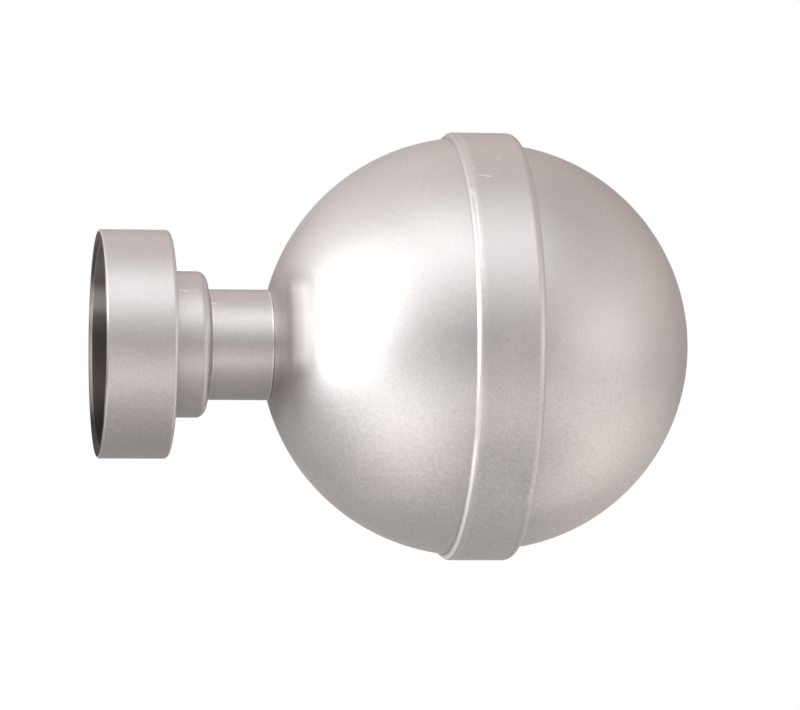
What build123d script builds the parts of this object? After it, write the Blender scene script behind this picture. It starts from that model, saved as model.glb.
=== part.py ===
"""Ball finial for the end of a curtain pole.

The X axis is the axis of the pole and of every turned piece. The origin is where
the end of the pole seats, on the floor of the socket, +X points to the tip of the
ball and +Z is up. The grub screw faces the wall behind the pole, on the +Y side.
"""
import os
from math import cos, radians, sqrt

from build123d import *

# Pole and the turned socket that slides over its end
pole_diameter = 28.0
pole_clearance = 0.4
socket_wall = 1.8
bore_depth = 8.2
floor_thickness = 1.65
mouth_lead_in = 0.42
rim_round = 0.3
back_round = 0.6

# Stepped boss behind the socket
boss_diameter = 20.5
boss_length = 5.15
boss_round = 1.3

# Sleeve that forms the neck
neck_diameter = 15.5
neck_length = 9.0
neck_wall = 2.7
neck_edge = 0.13

# Pressed half shells of the ball
rear_cap_diameter = 59.0
front_cap_diameter = 57.4
cap_wall = 1.2

# Ring that joins the two shells: a shoulder between their rims, a lip over each
lip_wall = 0.6
band_lap = 3.7
shoulder_width = 2.2
shoulder_step = 0.8
lip_clearance = 0.05
rear_edge_round = 0.95
front_edge_round = 1.2

# Countersunk tie screw with a hexagon socket
tie_thread = 6.0
tie_length = 25.0
tie_head = 12.0
tie_hex = 4.0
tie_hex_depth = 2.2
tie_recess = 0.2
tie_clearance = 0.3
tie_point = 0.6

# Nut welded inside the rear shell
nut_across_flats = 10.0
nut_thickness = 5.0
nut_corner_angle = 30.0

# Grub screw that locks the socket to the pole
grub_thread = 3.0
grub_length = 3.0
grub_from_mouth = 4.4
grub_hex = 1.5
grub_hex_depth = 1.2
grub_point = 0.5

# Play between a screw and what it is threaded into, on the radius
thread_gap = 0.1

# Radii and places that follow from the sizes above
bore_radius = (pole_diameter + pole_clearance) / 2
socket_radius = bore_radius + socket_wall
boss_radius = boss_diameter / 2
neck_radius = neck_diameter / 2
neck_bore_radius = neck_radius - neck_wall
rear_radius = rear_cap_diameter / 2
front_radius = front_cap_diameter / 2
band_radius = max(rear_radius, front_radius) + lip_clearance + lip_wall
tie_radius = tie_thread / 2
tie_hole_radius = tie_radius + tie_clearance
tie_head_radius = tie_head / 2
grub_radius = grub_thread / 2

mouth_x = -bore_depth
boss_start_x = floor_thickness
boss_end_x = boss_start_x + boss_length
neck_end_x = boss_end_x + neck_length
rear_centre_x = neck_end_x + sqrt(rear_radius**2 - neck_radius**2)
front_centre_x = rear_centre_x + shoulder_width
grub_x = mouth_x + grub_from_mouth


def turned(profile):
    """A full turn of a flat profile, drawn above the X axis, about that axis."""
    return revolve(profile, axis=Axis.X)


def rounded(profile, corner, radius):
    """The profile with the corner nearest to a point rounded."""
    return fillet(profile.vertices().sort_by_distance(corner)[0], radius)


def bevelled(profile, corner, size):
    """The profile with the corner nearest to a point cut at 45 degrees."""
    return chamfer(profile.vertices().sort_by_distance(corner)[0], size)


def disc_above_axis(centre_x, radius, start_x, end_x):
    """The part of a disc that lies above the axis and between two places on it."""
    window = Pos((start_x + end_x) / 2, radius / 2) * Rectangle(end_x - start_x, radius)
    return (Pos(centre_x, 0) * Circle(radius)) & window


def hexagon_prism(across_flats, length):
    """A hexagonal prism along +X from the origin."""
    section = RegularPolygon(across_flats / 2, 6, major_radius=False)
    return extrude(Plane.YZ * section, length)


def make_pole_socket():
    """Cup over the pole's end, its floor countersunk, with the stepped boss behind."""
    sink_radius = tie_head_radius + tie_recess + thread_gap
    profile = make_face(
        Polyline(
            (mouth_x, bore_radius),
            (mouth_x, socket_radius),
            (boss_start_x, socket_radius),
            (boss_start_x, boss_radius),
            (boss_end_x, boss_radius),
            (boss_end_x, tie_hole_radius),
            (sink_radius - tie_hole_radius, tie_hole_radius),
            (0, sink_radius),
            (0, bore_radius),
            close=True,
        )
    )
    profile = rounded(profile, (mouth_x, socket_radius), rim_round)
    profile = rounded(profile, (boss_start_x, socket_radius), back_round)
    profile = rounded(profile, (boss_end_x, boss_radius), boss_round)
    profile = bevelled(profile, (mouth_x, bore_radius), mouth_lead_in)
    tapped_hole = extrude(grub_plane() * Circle(grub_radius), socket_radius)
    return turned(profile) - tapped_hole


def grub_plane():
    """Plane across the grub screw's axis, through the pole's axis, facing +Y."""
    return Plane(origin=(grub_x, 0, 0), x_dir=(1, 0, 0), z_dir=(0, 1, 0))


def make_neck_sleeve():
    """Tube between the boss and the ball, with a small bevel at both ends."""
    profile = make_face(
        Polyline(
            (boss_end_x, neck_bore_radius),
            (boss_end_x, neck_radius),
            (neck_end_x, neck_radius),
            (neck_end_x, neck_bore_radius),
            close=True,
        )
    )
    profile = bevelled(profile, (boss_end_x, neck_radius), neck_edge)
    profile = bevelled(profile, (neck_end_x, neck_radius), neck_edge)
    return turned(profile)


def make_rear_cap():
    """Half shell with a flat pressed at its pole, pierced for the tie screw."""
    outside = disc_above_axis(rear_centre_x, rear_radius, neck_end_x, rear_centre_x)
    inside = disc_above_axis(rear_centre_x, rear_radius - cap_wall, neck_end_x + cap_wall, rear_centre_x)
    hole = extrude(Plane.YZ * Circle(tie_hole_radius), rear_centre_x)
    return turned(outside - inside) - hole


def make_front_cap():
    """Plain half shell that closes the ball and carries its tip."""
    tip_x = front_centre_x + front_radius
    outside = disc_above_axis(front_centre_x, front_radius, front_centre_x, tip_x)
    inside = disc_above_axis(front_centre_x, front_radius - cap_wall, front_centre_x, tip_x - cap_wall)
    return turned(outside - inside)


def make_centre_band():
    """Ring with a shoulder between the rims and a thin lip rolled over each shell."""
    start_x = rear_centre_x - band_lap
    end_x = front_centre_x + band_lap
    inner_radius = min(rear_radius, front_radius) - cap_wall - shoulder_step
    profile = make_face(
        Polyline(
            (start_x, inner_radius),
            (start_x, band_radius),
            (end_x, band_radius),
            (end_x, inner_radius),
            close=True,
        )
    )
    profile = rounded(profile, (start_x, band_radius), rear_edge_round)
    profile = rounded(profile, (end_x, band_radius), front_edge_round)
    profile -= disc_above_axis(rear_centre_x, rear_radius + lip_clearance, start_x, rear_centre_x)
    profile -= disc_above_axis(front_centre_x, front_radius + lip_clearance, front_centre_x, end_x)
    return turned(profile)


def make_tie_screw():
    """Countersunk screw from the floor of the socket into the nut in the ball."""
    head_x = tie_recess
    neck_of_head_x = head_x + tie_head_radius - tie_radius
    tip_x = head_x + tie_length
    profile = make_face(
        Polyline(
            (head_x, 0),
            (head_x, tie_head_radius),
            (neck_of_head_x, tie_radius - thread_gap),
            (tip_x, tie_radius - thread_gap),
            (tip_x, 0),
            close=True,
        )
    )
    profile = bevelled(profile, (tip_x, tie_radius - thread_gap), tie_point)
    key_hole = Pos(head_x, 0, 0) * hexagon_prism(tie_hex, tie_hex_depth)
    return turned(profile) - key_hole


def make_weld_nut():
    """Hexagon nut on the inner flat of the rear shell, its corners turned back."""
    corner_radius = nut_across_flats / 2 / cos(radians(nut_corner_angle))
    blank = make_face(
        Polyline(
            (0, 0),
            (0, corner_radius),
            (nut_thickness, corner_radius),
            (nut_thickness, 0),
            close=True,
        )
    )
    blank = bevelled(blank, (nut_thickness, corner_radius), corner_radius - nut_across_flats / 2)
    thread = extrude(Plane.YZ * Circle(tie_radius), nut_thickness)
    nut = (turned(blank) & hexagon_prism(nut_across_flats, nut_thickness)) - thread
    return Pos(neck_end_x + cap_wall, 0, 0) * nut


def make_grub_screw():
    """Headless screw in the socket's wall, backed off until its point clears the pole."""
    plane = grub_plane().offset(bore_radius)
    body = extrude(plane * Circle(grub_radius - thread_gap), grub_length)
    body = chamfer(body.edges().group_by(Axis.Y)[0], grub_point)
    key_section = RegularPolygon(grub_hex / 2, 6, major_radius=False)
    key_hole = extrude(plane.offset(grub_length - grub_hex_depth) * key_section, grub_hex_depth)
    return body - key_hole


nodes = {
    "pole_socket": make_pole_socket(),
    "neck_sleeve": make_neck_sleeve(),
    "rear_cap": make_rear_cap(),
    "centre_band": make_centre_band(),
    "front_cap": make_front_cap(),
    "tie_screw": make_tie_screw(),
    "weld_nut": make_weld_nut(),
    "grub_screw": make_grub_screw(),
}

os.makedirs("parts", exist_ok=True)
for name, shape in nodes.items():
    export_step(shape, f"parts/{name}.step")
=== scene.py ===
from math import cos, pi, radians, sin, tau

import bmesh
import bpy
from mathutils import Matrix, Vector


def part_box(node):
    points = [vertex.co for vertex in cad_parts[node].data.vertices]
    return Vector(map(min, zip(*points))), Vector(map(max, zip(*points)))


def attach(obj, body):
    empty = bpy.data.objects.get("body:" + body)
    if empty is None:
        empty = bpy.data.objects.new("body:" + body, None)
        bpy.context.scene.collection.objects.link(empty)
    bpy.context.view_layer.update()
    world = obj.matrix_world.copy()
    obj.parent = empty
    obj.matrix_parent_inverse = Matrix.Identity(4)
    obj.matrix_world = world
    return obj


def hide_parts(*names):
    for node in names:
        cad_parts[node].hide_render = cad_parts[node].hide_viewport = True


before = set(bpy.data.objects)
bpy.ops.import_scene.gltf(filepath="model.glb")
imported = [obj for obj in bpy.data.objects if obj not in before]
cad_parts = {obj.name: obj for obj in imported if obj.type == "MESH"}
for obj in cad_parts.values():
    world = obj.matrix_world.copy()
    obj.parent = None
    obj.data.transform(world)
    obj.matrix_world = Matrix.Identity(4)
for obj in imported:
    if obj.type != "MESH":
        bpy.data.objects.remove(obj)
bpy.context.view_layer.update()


# Pole socket: a cup with a stepped boss, turned from brass in one piece, rubbed to an even
# satin grain and nickel plated. It slides over the end of the pole. The bore was left as it was
# cut, dull and dark, with painted light and shade in it and on the face of the mouth. The
# underside is painted darker as shade.
nickel_tint = (0.628, 0.597, 0.588)
# The colour of worn edges, which also carries their painted highlight.
worn_nickel_highlight = (0.86, 0.83, 0.81)
light_scratch = (0.97, 0.96, 0.95)
# Painted shade: the colour the underside of a piece is darkened towards.
underside_shade_colour = (0.09, 0.05, 0.02)
nickel_roughness = 0.44
nickel_relief_mm = 0.006

# A worn edge with a painted highlight on it: place along the axis, radius, fully bright out to,
# bright at all out to, strength
socket_back_edge = (1.65, 15.8, 0.1, 0.7, 0.5)
boss_edge = (6.26, 10.0, 0.12, 0.45, 0.7)

# A mark: start, end, width, soft edge, strength, colour. A spot is a very short one.
boss_marks = [
    ((2.39, -6.95, 7.53), (3.49, -7.09, 7.40), 0.10, 0.2, 0.5, light_scratch),
    ((3.49, -7.09, 7.40), (4.96, -6.88, 7.60), 0.05, 0.2, 0.2, light_scratch),
]


class Amount:
    """One output of a node. Arithmetic on it adds the Math nodes that work it out."""

    def __init__(self, finish, socket):
        self.finish = finish
        self.socket = socket

    def worked(self, operation, *values):
        return self.finish.node("ShaderNodeMath", {"operation": operation}, values)

    def __add__(self, other):
        return self.worked("ADD", self, other)

    __radd__ = __add__

    def __sub__(self, other):
        return self.worked("SUBTRACT", self, other)

    def __rsub__(self, other):
        return self.worked("SUBTRACT", other, self)

    def __mul__(self, other):
        return self.worked("MULTIPLY", self, other)

    __rmul__ = __mul__

    def __truediv__(self, other):
        return self.worked("DIVIDE", self, other)

    def __rtruediv__(self, other):
        return self.worked("DIVIDE", other, self)

    def __pow__(self, other):
        return self.worked("POWER", self, other)

    def __rpow__(self, other):
        return self.worked("POWER", other, self)


class Finish:
    """The nodes of one surface, laid out in the finial's own millimetres."""

    def __init__(self, owner):
        owner.use_nodes = True
        self.owner = owner
        self.nodes = owner.node_tree.nodes
        self.links = owner.node_tree.links
        self.nodes.clear()

    def node(self, kind, settings, values, output=0):
        """Adds a node: its settings first, then the values or links of its sockets."""
        made = self.nodes.new(kind)
        for name, setting in settings.items():
            setattr(made, name, setting)
        named = values.items() if isinstance(values, dict) else enumerate(values)
        for socket, value in named:
            if isinstance(value, Amount):
                self.links.new(value.socket, made.inputs[socket])
            else:
                made.inputs[socket].default_value = value
        return Amount(self, made.outputs[output]) if made.outputs else None

    def vector(self, operation, first, second, output=0):
        """Arithmetic on two vectors, or on a vector and a number where it is scaled."""
        second_socket = "Scale" if operation == "SCALE" else 1
        values = {0: first, second_socket: second}
        return self.node("ShaderNodeVectorMath", {"operation": operation}, values, output)

    def place(self):
        """Finds the point in millimetres, its parts and its distance from the axis."""
        metres = self.node("ShaderNodeTexCoord", {}, {}, "Object")
        self.point = self.vector("SCALE", metres, 1000)
        parts = {"Vector": self.point}
        self.along = self.node("ShaderNodeSeparateXYZ", {}, parts, "X")
        self.back = self.node("ShaderNodeSeparateXYZ", {}, parts, "Y")
        self.height = self.node("ShaderNodeSeparateXYZ", {}, parts, "Z")
        self.radius = (self.back * self.back + self.height * self.height) ** 0.5

    def fade(self, value, nothing, full):
        """0 where the value is at or before one limit, 1 at or past the other."""
        limits = {"Value": value, "From Min": nothing, "From Max": full}
        return self.node("ShaderNodeMapRange", {"interpolation_type": "SMOOTHSTEP"}, limits)

    def about(self, value, middle, nothing, full):
        """1 within one distance of a middle value, 0 beyond the other."""
        off = value - middle
        return self.fade((off * off) ** 0.5, nothing, full)

    def noise(self, per_mm, detail=2.0, stretch=(1, 1, 1)):
        """Smooth random mottling around 0.5, with so many spots to the millimetre."""
        point = self.vector("MULTIPLY", self.point, stretch)
        return self.node("ShaderNodeTexNoise", {}, {"Vector": point, "Scale": per_mm, "Detail": detail})

    def mix(self, amount, first, second):
        """A colour that goes from the first to the second with the amount."""
        first, second = (c if isinstance(c, Amount) else (*c, 1) for c in (first, second))
        colours = {"Factor": amount, 6: first, 7: second}
        return self.node("ShaderNodeMix", {"data_type": "RGBA"}, colours, 2)

    def stroke(self, start, end, width, soft):
        """1 on a fine line between two points on the surface, fading out at its sides."""
        run = Vector(end) - Vector(start)
        from_start = self.vector("SUBTRACT", self.point, start)
        share = self.vector("DOT_PRODUCT", from_start, run / run.length_squared, "Value")
        share = self.node("ShaderNodeClamp", {}, {"Value": share})
        nearest = self.vector("SCALE", run, share)
        distance = self.vector("DISTANCE", from_start, nearest, "Value")
        return self.fade(distance, width / 2 + soft, width / 2)

    def rim(self, along, radius, core, reach):
        """1 on an edge that runs round the piece, fading out on both sides of it."""
        off_along = self.along - along
        off_radius = self.radius - radius
        distance = (off_along * off_along + off_radius * off_radius) ** 0.5
        return self.fade(distance, reach, core)

    def shade(self, colour, roughness, height, depth_mm):
        """Ends the surface: bare metal of this colour, with a fine relief of this depth."""
        relief = {"Height": height, "Distance": depth_mm / 1000, "Strength": 1.0}
        normal = self.node("ShaderNodeBump", {}, relief)
        surface = {"Base Color": colour, "Metallic": 1.0, "Roughness": roughness, "Normal": normal}
        metal = self.node("ShaderNodeBsdfPrincipled", {}, surface)
        self.node("ShaderNodeOutputMaterial", {}, {"Surface": metal})


def either(first, second):
    """Covers what one amount or the other covers, without going past 1."""
    return 1 - (1 - first) * (1 - second)


def finish_node(node, finish):
    """Puts a finish on a solid of the frame, in place of its plain one."""
    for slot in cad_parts[node].material_slots:
        slot.material = finish.owner


def satin_nickel(node, edges=(), marks=(), overlay=None, underside_shade=0.0):
    """Rubbed and plated satin nickel, worn bright on its edges with a painted highlight there too,
    and painted darker underneath as shade. Each piece may lay its own colours over it.

    The grain of fine scratches and pits is coarser low down. Clouds and wipe marks lie over it.
    """
    nickel = Finish(bpy.data.materials.new("satin_nickel." + node))
    nickel.place()
    grain = nickel.noise(2.1, 3.0)
    pits = nickel.noise(5.2, 1.0)
    cloud = nickel.noise(0.16, 2.0)
    wipe = nickel.noise(0.55, 2.0, (1, 0.45, 0.45))
    coarser_below = nickel.fade(nickel.height, 6, -20) * 1.3 + 1.0
    mottle = ((pits - 0.5) * 0.4 + (grain - 0.5) * 0.42) * coarser_below
    tone = mottle + (cloud - 0.5) * 0.08 + (wipe - 0.5) * 0.05 + 0.5
    darker = tuple(c * 0.8 for c in nickel_tint)
    lighter = tuple(c * 1.2 for c in nickel_tint)
    colour = nickel.mix(tone, darker, lighter)
    roughness = nickel_roughness + (cloud - 0.5) * 0.08 + (grain - 0.5) * 0.06
    # Edges: worn bright, with a painted highlight laid over the wear.
    for along, radius, core, reach, strength in edges:
        bright_edge = nickel.rim(along, radius, core, reach) * (0.55 + 0.9 * (wipe - 0.5)) * strength
        colour = nickel.mix(bright_edge, colour, worn_nickel_highlight)
        roughness = roughness - bright_edge * 0.12
    for start, end, width, soft, strength, mark_colour in marks:
        mark = nickel.stroke(start, end, width, soft) * strength
        colour = nickel.mix(mark, colour, mark_colour)
    # Painted shade: the underside of the piece darkened towards a dark brown.
    if underside_shade:
        below = nickel.fade(nickel.height / nickel.radius, -0.25, -0.7) * underside_shade
        colour = nickel.mix(below, colour, underside_shade_colour)
    # The piece's own overlay of colour and roughness, with its painted light and shade.
    if overlay:
        amount, overlay_colour, overlay_roughness = overlay(nickel)
        colour = nickel.mix(amount, colour, overlay_colour)
        roughness = roughness * (1 - amount) + amount * overlay_roughness
    nickel.shade(colour, roughness, grain, nickel_relief_mm)
    finish_node(node, nickel)


def bore_and_mouth_painted_light(nickel):
    """The unplated bore and floor of the cup, and the face and outer edge of its mouth.

    The bore is dark brown, painted lighter towards the top and darker low down as light and
    shade, with a painted highlight in a band above the axis. The face of the mouth is dark too,
    with a painted highlight just above the axis and on the side away from the wall, and painted
    shade at its top and bottom. Its outer edge is painted darker about level with the axis, as
    shade over its highlight there.
    """
    along, height, radius = nickel.along, nickel.height, nickel.radius
    inside = nickel.fade(radius, 14.27, 14.21) * nickel.fade(along, 1.1, 0.7)
    # Painted light and shade: the bore lighter towards the top and darker low down.
    bore = nickel.mix(nickel.fade(height, 1.0, 5.0), (0.120, 0.100, 0.092), (0.235, 0.205, 0.195))
    bore = nickel.mix(nickel.fade(height, -5.0, -12.0), bore, (0.058, 0.052, 0.050))
    bore = nickel.mix(nickel.fade(height, 8.5, 11.5), bore, (0.40, 0.36, 0.34))
    # Painted highlight: a pale band in the bore above the axis.
    bore_highlight = nickel.about(height, 6.3, 2.6, 0.5)
    bore = nickel.mix(bore_highlight, bore, (0.50, 0.47, 0.45))

    # Painted shade: the outer edge of the mouth darkened about level with the axis.
    outer_edge = nickel.about(height, -1.5, 8.0, 2.5) * nickel.fade(along, -7.93, -8.03) * 0.8
    face = nickel.fade(radius, 15.75, 15.65) * nickel.fade(along, -7.72, -7.82)
    mouth = either(face, outer_edge)
    # Painted highlight on the face: paler on the side away from the wall and just above the axis.
    lit_side = nickel.fade(nickel.back, -2.0, -10.0) * nickel.fade(radius, 15.7, 15.55)
    plain = nickel.mix(lit_side, (0.125, 0.112, 0.106), (0.24, 0.215, 0.205))
    pale = nickel.mix(lit_side, (0.30, 0.27, 0.255), (0.66, 0.62, 0.60))
    shaded = nickel.mix(nickel.about(height, 6.0, 4.0, 0.8), plain, pale)
    # Painted shade at the top and bottom of the face.
    shaded = nickel.mix(nickel.fade(height, 8.5, 11.0), shaded, (0.085, 0.075, 0.072))
    shaded = nickel.mix(nickel.fade(height, -8.0, -11.0), shaded, (0.03, 0.027, 0.026))
    return either(inside, mouth), nickel.mix(inside, shaded, bore), 0.5


satin_nickel(
    "pole_socket",
    edges=[socket_back_edge, boss_edge],
    marks=boss_marks,
    overlay=bore_and_mouth_painted_light,
    underside_shade=0.23,
)


# Grub screw: a short headless screw of blackened steel in the tapped hole on the side that
# faces the wall. Its thread is rolled, its socket is punched, and its point bites the pole.
grub_low, grub_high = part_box("grub_screw")
grub_radius = 0.00145
grub_root = 0.00118
grub_pitch = 0.0005
grub_point_radius = 0.0007
grub_top_radius = 0.00115
grub_key = 0.00075
grub_key_depth = 0.0012
grub_key_bevel = 0.00007
grub_key_bevel_depth = 0.00008
grub_sides = 36
grub_rings_per_turn = 10
root_share = 0.12
flank_share = 0.72
oiled_black = (0.055, 0.055, 0.058)
rubbed_steel = (0.22, 0.21, 0.20)


def thread_height(turns):
    """How far up its flank a point of a rolled thread is, from 0 in the root to 1 on the crest."""
    share = turns % 1.0
    flank = 1 - abs(2 * share - 1)
    return min(1.0, max(0.0, (flank - root_share) / flank_share))


def hexagon_reach(angle, across):
    """How far out a hexagonal hole reaches in one direction."""
    return across / cos((angle % (pi / 3)) - pi / 6)


def make_grub_screw():
    """The screw as one closed mesh, with its axis along +Y."""
    body = bmesh.new()
    middle = (grub_low + grub_high) / 2
    length = grub_high.y - grub_low.y
    count = round(length / grub_pitch * grub_rings_per_turn)
    rings = []
    for level in range(count + 1):
        depth = length * level / count
        ring = []
        for side in range(grub_sides):
            turn = side / grub_sides
            crest = thread_height(depth / grub_pitch - turn)
            radius = grub_root + (grub_radius - grub_root) * crest
            from_end = min(depth + grub_point_radius, length - depth + grub_top_radius)
            radius = min(radius, from_end)
            angle = tau * turn
            spot = (middle.x + radius * cos(angle), grub_low.y + depth, middle.z + radius * sin(angle))
            ring.append(body.verts.new(spot))
        rings.append(ring)
    for depth, bevel in ((0.0, grub_key_bevel), (grub_key_bevel_depth, 0.0), (grub_key_depth, 0.0)):
        ring = []
        for side in range(grub_sides):
            angle = tau * side / grub_sides
            reach = hexagon_reach(angle, grub_key) + bevel
            spot = (middle.x + reach * cos(angle), grub_high.y - depth, middle.z + reach * sin(angle))
            ring.append(body.verts.new(spot))
        rings.append(ring)
    for lower, upper in zip(rings, rings[1:]):
        for side in range(grub_sides):
            after = (side + 1) % grub_sides
            body.faces.new((lower[side], upper[side], upper[after], lower[after]))
    body.faces.new(rings[0])
    body.faces.new(reversed(rings[-1]))
    bmesh.ops.recalc_face_normals(body, faces=body.faces)
    mesh = bpy.data.meshes.new("grub_screw_threaded")
    body.to_mesh(mesh)
    body.free()
    screw = bpy.data.objects.new("grub_screw_threaded", mesh)
    bpy.context.scene.collection.objects.link(screw)
    return screw


blackened = Finish(bpy.data.materials.new("dark_steel.grub_screw"))
blackened.place()
scale_spots = blackened.noise(6.0, 3.0)
rubbed = blackened.fade(blackened.radius, 16.9, 17.25) * blackened.fade(scale_spots, 0.4, 0.62)
blackened.shade(
    blackened.mix(rubbed, oiled_black, rubbed_steel),
    0.42 + (scale_spots - 0.5) * 0.3,
    scale_spots,
    0.01,
)
grub_screw = make_grub_screw()
grub_screw.data.materials.append(blackened.owner)
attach(grub_screw, "root")
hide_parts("grub_screw")


# Neck sleeve: a short brass tube parted off on the lathe, satin finished and plated. It is
# clamped between the boss and the ball. Except low down, its open joint at the boss is painted
# dark as shade, its edge at the ball carries a painted highlight, and its underside painted shade.
# Both edges are worn with a painted highlight; the one at the ball is lifted out of its shade.
sleeve_edge_at_boss = (7.24, 7.75, 0.06, 0.2, 0.6)
sleeve_edge_at_ball = (15.72, 7.72, 0.12, 0.3, 2.0)
sleeve_marks = [((7.3, -5.24, 5.71), (7.73, -5.27, 5.69), 0.10, 0.24, 0.6, light_scratch)]


def open_joint(nickel):
    """Painted shade in the open wedge-shaped joint between the boss and the end of the sleeve."""
    wedge = nickel.fade(nickel.along, 7.22, 7.08) * nickel.fade(nickel.height, -4.45, -4.1)
    return wedge, (0.39, 0.355, 0.34), 0.6


satin_nickel(
    "neck_sleeve",
    edges=[sleeve_edge_at_boss, sleeve_edge_at_ball],
    marks=sleeve_marks,
    overlay=open_joint,
    underside_shade=0.28,
)


# Tie screw and weld nut: a countersunk steel screw draws the socket and the sleeve on to the
# ball, into a nut welded behind the rear shell. Both are zinc plated, dull and faintly cloudy.
blue_zinc = (0.50, 0.52, 0.54)
grey_zinc = (0.62, 0.62, 0.61)
worn_zinc = (0.80, 0.80, 0.80)
head_edge_radius = 5.9
no_head = -100.0


def zinc_plate(node, head_x):
    """Dull zinc over turned steel, cloudy, with fine rings on the flat of a head."""
    zinc = Finish(bpy.data.materials.new("zinc_steel." + node))
    zinc.place()
    cloud = zinc.noise(0.8, 3.0)
    crystals = zinc.noise(5.0, 2.0)
    rings = zinc.node("ShaderNodeMath", {"operation": "SINE"}, (zinc.radius * 40.0,))
    on_head = zinc.fade(zinc.along, head_x + 0.06, head_x + 0.02)
    colour = zinc.mix(cloud, blue_zinc, grey_zinc)
    bright_edge = zinc.rim(head_x + 0.1, head_edge_radius, 0.1, 0.4) * zinc.fade(crystals, 0.35, 0.65)
    colour = zinc.mix(bright_edge * 0.5, colour, worn_zinc)
    roughness = 0.72 + (crystals - 0.5) * 0.2 + (cloud - 0.5) * 0.1
    zinc.shade(colour, roughness, crystals + rings * on_head * 0.35, 0.008)
    finish_node(node, zinc)


zinc_plate("tie_screw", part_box("tie_screw")[0].x * 1000)
zinc_plate("weld_nut", no_head)


# Rear shell: a half ball pressed from steel sheet, satin finished and plated, with a flat at
# its pole where the sleeve bears on it. Next to the sleeve low down it is painted darker as
# shade, and beyond the sleeve over the top a ring of painted highlight lies on it.
shell_edge_at_sleeve = (15.84, 7.88, 0.12, 0.34, 0.25)
# Colours of the painted shade by the sleeve and of the painted highlight ring.
painted_shade_shell = (0.22, 0.19, 0.175)
painted_highlight_ring = (0.90, 0.875, 0.86)


def round_the_sleeve(nickel):
    """Painted shade by the sleeve low down, and a ring of painted highlight beyond it over the top."""
    # Painted shade next to the sleeve, low down.
    shaded = nickel.fade(nickel.radius, 13.0, 9.0) * nickel.fade(nickel.height, -1.0, -3.5) * 0.45
    # Painted highlight: a ring beyond the sleeve over the top.
    ring = nickel.about(nickel.radius, 14.4, 3.6, 0.8) * nickel.fade(nickel.height, 11.0, 7.5)
    ring = ring * nickel.fade(nickel.height, -6.0, -1.5) * 0.9
    return either(shaded, ring), nickel.mix(ring, painted_shade_shell, painted_highlight_ring), 0.46


satin_nickel("rear_cap", edges=[shell_edge_at_sleeve], overlay=round_the_sleeve)


# Centre band: a ring turned with a shoulder that spaces the two shells, and a thin lip rolled
# down over each of them. It stands proud, so it is what gets scratched.
band_left_edge = (41.6, 30.15, 0.1, 0.55, 0.5)
dark_scratch = (0.16, 0.14, 0.13)
# Colours of the darkened lips and of the painted highlight at the left lip.
darkened_lip = (0.36, 0.335, 0.325)
painted_highlight_lip = (0.98, 0.96, 0.95)
band_marks = [
    ((41.17, -19.23, 23.22), (42.68, -18.90, 23.49), 0.05, 0.2, 0.22, light_scratch),
    ((42.68, -18.90, 23.49), (43.76, -19.12, 23.32), 0.07, 0.18, 0.35, light_scratch),
    ((43.55, -19.08, 23.35), (43.80, -19.12, 23.32), 0.14, 0.18, 0.75, light_scratch),
    ((43.80, -19.12, 23.32), (44.25, -19.11, 23.32), 0.04, 0.18, 0.22, light_scratch),
    ((45.71, -15.28, 25.99), (45.72, -15.28, 25.99), 0.14, 0.18, 0.7, light_scratch),
    ((41.86, -17.36, 24.65), (41.87, -17.36, 24.65), 0.10, 0.16, 0.5, light_scratch),
    ((41.36, -17.70, 24.41), (41.37, -17.70, 24.41), 0.08, 0.16, 0.35, light_scratch),
    ((41.76, -17.95, 24.23), (41.77, -17.95, 24.23), 0.08, 0.16, 0.45, light_scratch),
    ((44.46, -30.14, 0.81), (44.47, -30.14, 0.81), 0.08, 0.16, 0.18, dark_scratch),
    ((46.66, -30.13, 1.05), (46.67, -30.13, 1.05), 0.08, 0.16, 0.18, dark_scratch),
    ((48.90, -30.14, 0.67), (48.91, -30.14, 0.67), 0.08, 0.16, 0.18, dark_scratch),
]


def rolled_lips(nickel):
    """The two edges of the band, darkened along the feet of the lips; the right one only low down,
    as painted shade.

    The foot of the left lip has a painted highlight low down, and a little at the top.
    """
    left = nickel.rim(40.85, 29.8, 0.2, 0.55) * 0.4
    # Painted shade: the right lip darkened low down only.
    right = nickel.rim(49.45, 29.85, 0.35, 0.75) * nickel.fade(nickel.height, -4.0, -10.0) * 0.3
    # Painted highlight at the foot of the left lip, low down and a little at the top.
    lip_highlight = nickel.fade(nickel.height, -8.0, -16.0) + nickel.fade(nickel.height, 12.0, 18.0) * 0.4
    lip_highlight = nickel.rim(40.9, 29.78, 0.12, 0.5) * lip_highlight
    return either(left + right, lip_highlight), nickel.mix(lip_highlight, darkened_lip, painted_highlight_lip), 0.46


satin_nickel("centre_band", edges=[band_left_edge], marks=band_marks, overlay=rolled_lips)


# Front shell: the plain half ball that closes the finial, pressed from the same sheet as the
# rear one and a little smaller. The band's right lip holds its rim.
satin_nickel("front_cap")


# The studio: a plain grey floor well below the finial, a room with soft lights all round, and
# soft cards between the floor and the finial that throw light up at it.
floor_height = -0.35
floor_radius = 2.5
floor_corners = 128
floor_grey = (0.42, 0.42, 0.415, 1)
room_centre = Vector((0.0345, 0, 0))


def direction(around, up):
    """Unit vector to a place in the room: around from the camera's side towards +X."""
    a = radians(around)
    e = radians(up)
    return Vector((sin(a) * cos(e), -cos(a) * cos(e), sin(e)))


bpy.ops.mesh.primitive_circle_add(vertices=floor_corners, radius=floor_radius, fill_type="NGON",
                                  location=(room_centre.x, 0, floor_height))
floor = bpy.context.object
floor.name = "floor"
floor_paint = bpy.data.materials.new("floor_paint")
floor_paint.use_nodes = True
paint = floor_paint.node_tree.nodes["Principled BSDF"]
paint.inputs["Base Color"].default_value = floor_grey
paint.inputs["Roughness"].default_value = 0.9
paint.inputs["Specular IOR Level"].default_value = 0.1
floor.data.materials.append(floor_paint)

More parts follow.
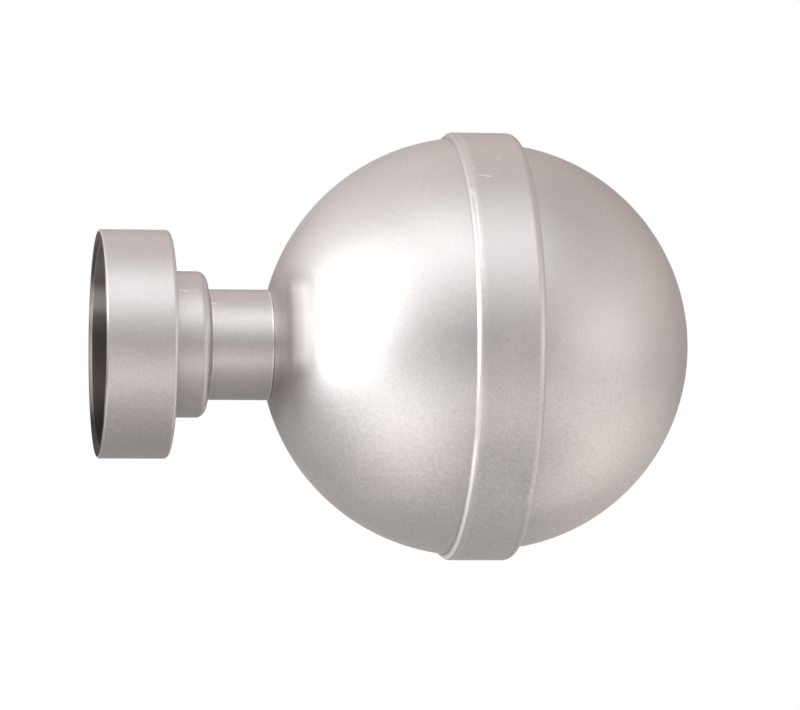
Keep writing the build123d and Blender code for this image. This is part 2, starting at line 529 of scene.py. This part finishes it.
room_lights = [
    # around, up, level, closeness, warm
    (-90, 0, 10.0, 25, 0.0),
    (-75, 20, 3.5, 25, 0.1),
    (-45, 54, 0.81, 8, 0.2),
    (-58, 28, 0.58, 8, 0.0),
    (0, 54, 1.37, 8, 0.0),
    (60, 0, 1.3, 8, 0.3),
    (106, 28, 0.5, 8, 0.4),
    (120, 0, 0.14, 8, 0.5),
    (180, 54, 0.6, 8, 0.5),
    (-123, 28, 0.78, 8, 0.2),
]
room_fill = 0.2
daylight = Vector((0.955, 1.0, 1.02))
lamplight = Vector((1.16, 1.0, 0.93))
backdrop_around = 171.5
backdrop_white_to = 7.6
backdrop_ends_at = 14.0

world = bpy.data.worlds.new("studio_room")
bpy.context.scene.world = world
room = Finish(world)
looking = room.node("ShaderNodeTexCoord", {}, {}, "Generated")
glow = lamplight * room_fill
for around, up, level, closeness, warm in room_lights:
    facing = room.vector("DOT_PRODUCT", looking, direction(around, up), "Value")
    fall = room.node("ShaderNodeMath", {"operation": "EXPONENT"}, ((facing - 1.0) * closeness,))
    tinted = room.vector("SCALE", daylight.lerp(lamplight, warm), fall * level)
    glow = room.vector("ADD", glow, tinted)
behind = room.vector("DOT_PRODUCT", looking, direction(backdrop_around, 0), "Value")
backdrop = room.fade(behind, cos(radians(backdrop_ends_at)), cos(radians(backdrop_white_to)))
glow = room.mix(backdrop, glow, (1, 1, 1))
sky = room.node("ShaderNodeBackground", {}, {"Color": glow, "Strength": 1.0})
room.node("ShaderNodeOutputWorld", {}, {"Surface": sky})

low_cards = [
    # name, around, up, level, warm
    ("card_left", -57, -28, 0.86, 0.1),
    ("card_front_left", -25, -28, 0.52, 0.2),
    ("card_front", 8, -28, 0.23, 0.7),
    ("card_front_right", 41, -28, 0.35, 0.5),
    ("card_right", 73, -28, 0.44, 0.5),
    ("card_back_right", 106, -28, 0.26, 0.8),
    ("card_back", 139, -28, 0.11, 1.0),
    ("card_under_end", -90, -54, 0.23, 0.7),
    ("card_under_left", -45, -54, 0.46, 0.7),
    ("card_under_right", 90, -54, 0.41, 0.6),
]
card_distance = 0.3
card_radius = 0.1
for name, around, up, level, warm in low_cards:
    lamp = bpy.data.lights.new(name, "AREA")
    lamp.shape = "DISK"
    lamp.size = 2 * card_radius
    lamp.color = daylight.lerp(lamplight, warm)
    lamp.energy = 4 * pi * card_radius ** 2 * level
    card = bpy.data.objects.new(name, lamp)
    bpy.context.scene.collection.objects.link(card)
    card.location = room_centre + direction(around, up) * card_distance
    card.rotation_euler = direction(around, up).to_track_quat("Z", "Y").to_euler()
    card.visible_camera = False


# The camera: level with the axis, a little round to the mouth of the socket, with a long lens.
camera_turn = radians(8.528)
camera_roll = radians(0.4012)
camera_distance = 0.64682
camera_aim = Vector((0.0344645, 0, -0.0012734))
camera_data = bpy.data.cameras.new("camera")
camera_data.sensor_width = 36
camera_data.lens = 206.64
camera_data.clip_start = 0.01
camera = bpy.data.objects.new("camera", camera_data)
bpy.context.scene.collection.objects.link(camera)
away = Vector((-sin(camera_turn), -cos(camera_turn), 0))
level_right = (-away).cross(Vector((0, 0, 1)))
level_up = level_right.cross(-away)
right = level_right * cos(camera_roll) + level_up * sin(camera_roll)
upright = level_up * cos(camera_roll) - level_right * sin(camera_roll)
stand = Matrix((right, upright, away)).transposed().to_4x4()
stand.translation = camera_aim + away * camera_distance
camera.matrix_world = stand
bpy.context.scene.camera = camera
bpy.context.scene.view_settings.view_transform = "Standard"
